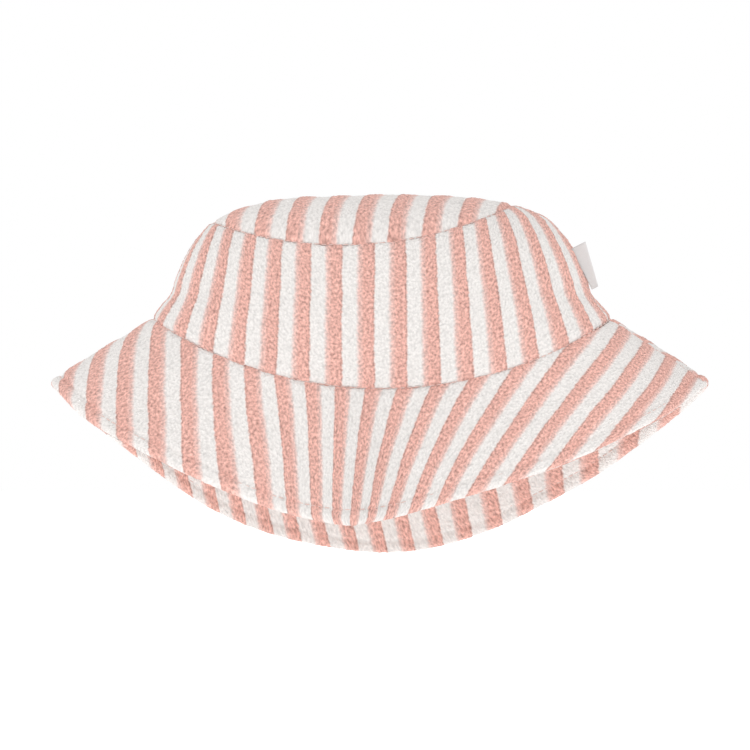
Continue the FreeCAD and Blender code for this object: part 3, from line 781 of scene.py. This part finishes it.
class HAT_OT_brim(HatOperator):
    """Sew the brim: a top and an underside, each in two halves, over their interlining"""

    bl_idname = "hat.brim"
    bl_label = "Brim"

    def execute(self, context):
        cut, cloth, _ = settings()
        shape, half = self.shape, cloth.brim_layers / 2
        cuts = {("top", "front"): (0, 0), ("top", "back"): (0, 0), ("under", "front"): (0.1, 0),
                ("under", "back"): (cut.under_turn, cut.under_twist)}
        for (layer, which), (turn, twist) in cuts.items():
            points, normals, flat, edge = brim_grid(shape, which, cloth.grid, turn=turn, twist=twist,
                                                    rounding=half)
            near = np.clip(1 - edge / half, 0, 1)
            rounding = half * (1 - np.sqrt(1 - near ** 2))
            groove = 0.9 * MM * dip(edge - cloth.topstitch, 1.1 * MM)
            relief = stripe_pile(flat, cut, cloth) - seam_dips(points, cloth) - groove
            relief = relief * (1 - near)
            thick = np.minimum(cloth.towelling, half - rounding + 0.15 * MM) + groove * (1 - near)
            side = 1 if layer == "top" else -1
            outer = -half + side * (half - rounding + relief)
            inner = -half + side * (half - rounding - thick)
            faces = [points + normals * depth[..., None] for depth in (outer, inner)]
            if layer == "under":
                faces, flat = [face[:, ::-1] for face in faces], flat[:, ::-1]
            piece = closed_sheet(f"brim_{layer}_{which}_cloth", *faces, flat)
            terry(piece, cloth)
            dress(piece, "towelling", "hat", f"brim_{layer}_{which}")
        for which in ("front", "back"):
            points, normals, flat, _ = brim_grid(shape, which, cloth.smooth_grid, inset=INTERLINING_INSET)
            faces = [points - normals * (half - gap) for gap in (0.3 * MM, -0.3 * MM)]
            piece = closed_sheet(f"brim_interlining_{which}", *faces, flat)
            dress(piece, "interlining", "hat", f"brim_stiffener_{which}")
        return {"FINISHED"}


class HAT_OT_lining(HatOperator):
    """Line the crown, and sew the sweatband into its opening"""

    bl_idname = "hat.lining"
    bl_label = "Lining and sweatband"

    def execute(self, context):
        cloth = settings()[1]
        shape = self.shape
        depth = cloth.towelling + LINING_GAP
        for which in ("front", "back"):
            points, normals, flat = wall_grid(shape, which, cloth.smooth_grid, depth)
            piece = closed_sheet(f"crown_lining_{which}", points, points - normals * cloth.lining, flat)
            dress(piece, "lining", "hat", f"lining_{which}")
        points, normals, flat, _ = tip_grid(shape, cloth.smooth_grid, depth)
        piece = closed_sheet("crown_lining_tip", points, points - normals * cloth.lining, flat)
        dress(piece, "lining", "hat", "lining_tip")
        band = self.band(shape, cloth, depth + cloth.lining + BAND_GAP)
        dress(band, "sweatband", "hat", "sweatband")
        return {"FINISHED"}

    def band(self, shape, cloth, depth):
        """The sweatband, all round, with its folded upper edge a little rounded."""
        turns = np.linspace(0, 1, count(shape.seam_length, cloth.smooth_grid))
        low = shape.brim_seam(turns)
        share = np.linspace(0, 1, 14)[:, None]
        points = shape.crown(turns, low + share * band_share(shape))
        normals = facing(points)
        bulge = cloth.band / 2 * np.sqrt(np.clip(1 - np.abs(2 * share - 1) ** 8, 0.02, 1))
        middle = points - normals * (depth + cloth.band / 2)
        flat = np.stack([lengths_along(points.swapaxes(0, 1)).T, lengths_along(points)], -1)
        return closed_sheet("sweatband_cloth", middle + normals * bulge[..., None],
                            middle - normals * bulge[..., None], flat)


def band_share(shape):
    """The sweatband's height, as a share of the crown's levels."""
    return BAND_HEIGHT / float(lengths_along(shape.rings[:, [0, 1]])[-1])


def crown_line(shape, turns, levels, depth):
    """A line on the crown at a depth below its face, and its normals."""
    step = 0.002
    across = shape.crown(turns + step, levels) - shape.crown(turns - step, levels)
    up = shape.crown(turns, levels + step) - shape.crown(turns, levels - step)
    normals = np.cross(across, up)
    normals /= np.linalg.norm(normals, axis=-1, keepdims=True)
    return shape.crown(turns, levels) - normals * depth, normals


def side_line(shape, side, depth):
    """The line of a side seam up the crown."""
    turn = np.full(80, shape.side_turn(side))
    low, high = shape.brim_seam(turn[:1]), shape.tip_seam(turn[:1])
    return crown_line(shape, turn, low + (high - low) * np.linspace(0.02, 0.98, 80), depth)


def rim_line(shape, which, inset, depth):
    """A line along half the rim at an inset, and its normals."""
    points, normals, *_ = brim_grid(shape, which, 2 * MM, inset=inset)
    return points[0] - normals[0] * depth, normals[0]


def brim_side_line(shape, side, depth):
    """The line of a brim layer's side seam."""
    points, normals, *_ = brim_grid(shape, "front", 1 * MM, inset=3 * MM)
    column = 0 if side < 0 else -1
    return points[:-2, column] - normals[:-2, column] * depth, normals[:-2, column]


class HAT_OT_stitching(HatOperator):
    """Sew the seams and the two rows of topstitching"""

    bl_idname = "hat.stitching"
    bl_label = "Stitching"

    def execute(self, context):
        cloth = settings()[1]
        shape = self.shape
        inside = cloth.towelling + LINING_GAP + cloth.lining
        around = np.linspace(0, 1, 700)
        lip = cloth.seam_dip * 0.75
        for node, level, depth in (
                ("crown_tip_thread", shape.tip_seam, lip), ("brim_seam_thread", shape.brim_seam, lip),
                ("lining_tip_thread", shape.tip_seam, inside)):
            self.sew(node, *crown_line(shape, around, level(around), depth), node)
        fold = shape.brim_seam(around) + band_share(shape) * BAND_STITCH_HEIGHT / BAND_HEIGHT
        self.sew("sweatband_stitch", *crown_line(shape, around, fold, inside + cloth.band + 0.25 * MM),
                 "band_stitch")
        for side, name in ((-1, "right"), (1, "left")):
            self.sew(f"crown_stitch_{name}", *side_line(shape, side, lip), f"crown_thread_{name}")
            self.sew(f"lining_stitch_{name}", *side_line(shape, side, inside), f"lining_thread_{name}")
            under = cloth.brim_layers - lip
            for layer, depth in (("top", lip), ("under", under)):
                self.sew(f"brim_{layer}_stitch_{name}", *brim_side_line(shape, side, depth),
                         f"brim_{layer}_thread_{name}")
        for which in ("front", "back"):
            hidden = rim_line(shape, which, RIM_SEAM_INSET, cloth.brim_layers / 2)
            self.sew(f"rim_seam_{which}", *hidden, f"rim_seam_thread_{which}")
            rows = [rim_line(shape, which, cloth.topstitch, depth)
                    for depth in (0.75 * MM, cloth.brim_layers - 0.75 * MM)]
            self.sew(f"rim_stitch_{which}", *rows[0], f"rim_topstitch_{which}")
            self.sew(f"rim_stitch_under_{which}", rows[1][0], -rows[1][1], f"rim_topstitch_{which}")
        return {"FINISHED"}

    def sew(self, name, path, normals, node):
        dress(stitch_row(f"{name}_stitches", path, normals), "thread", "hat", node)


class HAT_OT_labels(HatOperator):
    """Sew in the folded side label and the blank care label, each on a body of its own"""

    bl_idname = "hat.labels"
    bl_label = "Labels"

    def execute(self, context):
        joints = {joint["name"]: joint for joint in frame["joints"]}
        self.side_label(joints["side_label_flap"])
        self.care_label(joints["inner_label_flap"])
        return {"FINISHED"}

    def side_label(self, joint):
        """Its fold leans less than the seam does, so it stands out further at its top."""
        hinge, seam = np.array(joint["pos_m"]), np.array(joint["axis"])
        forward = np.cross(seam, np.array([1.0, 0, 0]))
        forward /= np.linalg.norm(forward)
        out = np.cross(forward, seam)
        reach, loop, length, lean = 4.5 * MM, 1.1 * MM, 21 * MM, radians(11)
        outer = []
        for along in np.linspace(-length / 2, length / 2, 24):
            fold = reach + along * tan(lean)
            path = [(x, -loop / 2) for x in np.linspace(-0.8 * MM, fold - loop / 2, 10)]
            path += [(fold + loop / 2 * (cos(a) - 1), loop / 2 * sin(a))
                     for a in np.linspace(-1.2, 1.2, 7)]
            path += [(x, loop / 2) for x in np.linspace(fold - loop / 2, -0.8 * MM, 10)]
            outer.append([hinge + out * x + forward * y + seam * (along + 2 * MM) for x, y in path])
        outer = np.array(outer)
        flat = np.stack([lengths_along(outer.swapaxes(0, 1)).T, lengths_along(outer)], -1)
        label = closed_sheet("side_label_tape", outer, outer - facing(outer) * LABEL_PLY, flat)
        dress(label, "label", "side_label", "woven_label")

    def care_label(self, joint):
        """It hangs by its upper edge, a little bowed away from the band."""
        hinge = np.array(joint["pos_m"])
        low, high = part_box("care_label")
        across, down = np.linspace(high.x, low.x, 13), np.linspace(high.z - low.z, 0, 18)
        outer = np.array([[hinge + (x, -0.05 * MM - 0.4 * MM * sin(pi * z / down[0]), -z)
                           for x in across] for z in down])
        flat = np.stack([lengths_along(outer.swapaxes(0, 1)).T, lengths_along(outer)], -1)
        label = closed_sheet("care_label_tape", outer, outer - facing(outer) * LABEL_PLY, flat)
        dress(label, "label", "inner_label", "care_label")


class HAT_OT_stage(HatOperator):
    """Set the floor, the soft light and the camera"""

    bl_idname = "hat.stage"
    bl_label = "Stage"

    def execute(self, context):
        stage = settings()[2]
        scene = context.scene
        rim = min(BRIM_FRONT[0].z, BRIM_BACK[0].z)
        bpy.ops.object.select_all(action="DESELECT")
        bpy.ops.mesh.primitive_plane_add(size=3.0, location=(0, 0, rim - stage.floor_gap))
        floor = context.object
        floor.name = "floor"
        paper = Finish("pale_paper", 0.9, specular=0.05)
        paper.put(paper.shader, {"Emission Color": (1, 1, 1, 1), "Emission Strength": 0.6})
        grain = paper.noise(paper.place(), 4 * MM, 3.0)
        floor.data.materials.append(paper.done(paper.shade((0.86, 0.86, 0.86), grain, 0.98, 1.0)))
        world = bpy.data.worlds.new("white_studio")
        scene.world = world
        world.use_nodes = True
        sky = world.node_tree.nodes["Background"]
        sky.inputs["Color"].default_value = (1, 1, 1, 1)
        sky.inputs["Strength"].default_value = 1.0
        self.soft_light("key", (-0.9, -1.2, 1.3), stage.key, 1.2)
        scene.view_settings.view_transform = "Standard"
        aim = Vector((-3.2 * MM, 0, stage.aim_height))
        away = Vector((0, -cos(stage.elevation), sin(stage.elevation))) * stage.distance
        bpy.ops.object.camera_add(location=aim + away)
        camera = context.object
        camera.rotation_euler = (-away).to_track_quat("-Z", "Y").to_euler()
        camera.data.lens = stage.lens
        camera.data.sensor_width = 36.0
        scene.camera = camera
        return {"FINISHED"}

    def soft_light(self, name, place, power, size):
        bpy.ops.object.light_add(type="AREA", location=place)
        light = bpy.context.object
        light.name = name
        light.data.energy, light.data.size = power, size
        light.rotation_euler = (-Vector(place)).to_track_quat("-Z", "Y").to_euler()


OPERATORS = (HAT_OT_crown, HAT_OT_brim, HAT_OT_lining, HAT_OT_stitching, HAT_OT_labels, HAT_OT_stage)


class HAT_PT_panel(Panel):
    """Lists the hat's pieces and their sizes"""

    bl_label = "Bucket Hat"
    bl_idname = "HAT_PT_panel"
    bl_space_type = "VIEW_3D"
    bl_region_type = "UI"
    bl_category = "Hat"

    def draw(self, context):
        for operator in OPERATORS:
            self.layout.operator(operator.bl_idname)
        for group in settings():
            box = self.layout.box()
            for name in group.bl_rna.properties.keys():
                if name not in ("rna_type", "name"):
                    box.prop(group, name)


CLASSES = (HatCut, HatCloth, HatStage) + OPERATORS + (HAT_PT_panel,)


def register():
    for each in CLASSES:
        bpy.utils.register_class(each)
    bpy.types.Scene.hat_cut = PointerProperty(type=HatCut)
    bpy.types.Scene.hat_cloth = PointerProperty(type=HatCloth)
    bpy.types.Scene.hat_stage = PointerProperty(type=HatStage)


def unregister():
    for name in ("hat_cut", "hat_cloth", "hat_stage"):
        delattr(bpy.types.Scene, name)
    for each in reversed(CLASSES):
        bpy.utils.unregister_class(each)


def main():
    register()
    bpy.ops.hat.crown()
    bpy.ops.hat.brim()
    bpy.ops.hat.lining()
    bpy.ops.hat.stitching()
    bpy.ops.hat.labels()
    bpy.ops.hat.stage()


if __name__ == "__main__":
    main()
